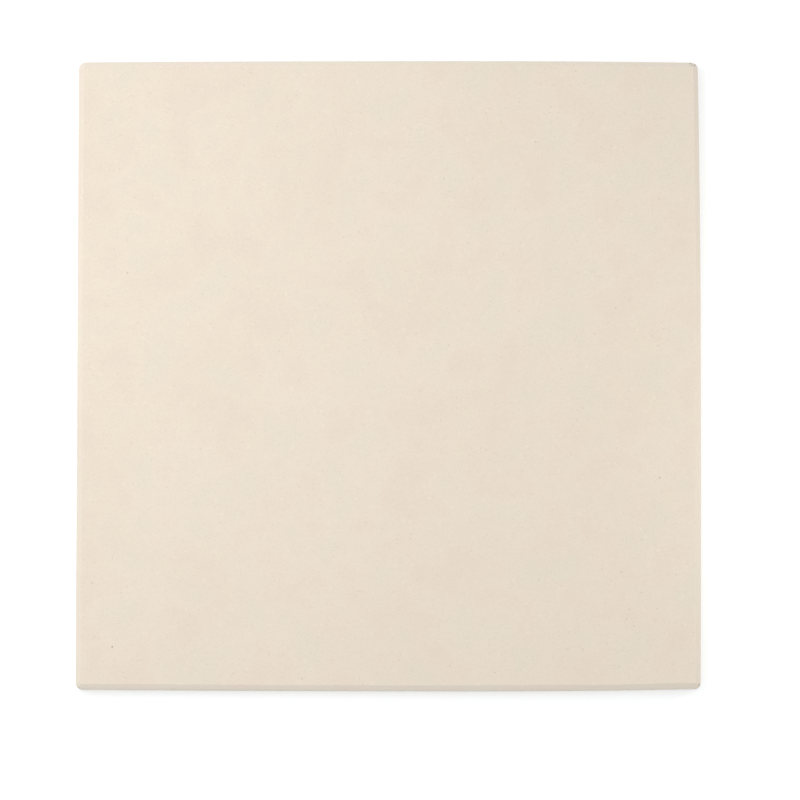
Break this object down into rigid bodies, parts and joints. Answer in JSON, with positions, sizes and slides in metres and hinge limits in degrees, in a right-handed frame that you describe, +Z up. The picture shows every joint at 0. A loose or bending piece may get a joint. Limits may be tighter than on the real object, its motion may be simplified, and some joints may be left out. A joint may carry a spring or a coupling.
{
  "type": "pizza stone",
  "caption": "Nearly square flat baking slab of unglazed fired cordierite with bevelled edges and rounded corners, laid on an oven rack or grill to bake flat dough.",
  "frame": {"origin": "centre of the flat underside, the face that lies on the rack", "axes": "+Z up, out of the baking face; +X to the right and +Y to the back as the picture shows the stone, along its sides"},
  "size_m": [0.381, 0.3866, 0.015],
  "materials": {
    "cordierite": "matte"
  },
  "bodies": {
    "root": {"stone_slab": "cordierite"}
  },
  "joints": []
}
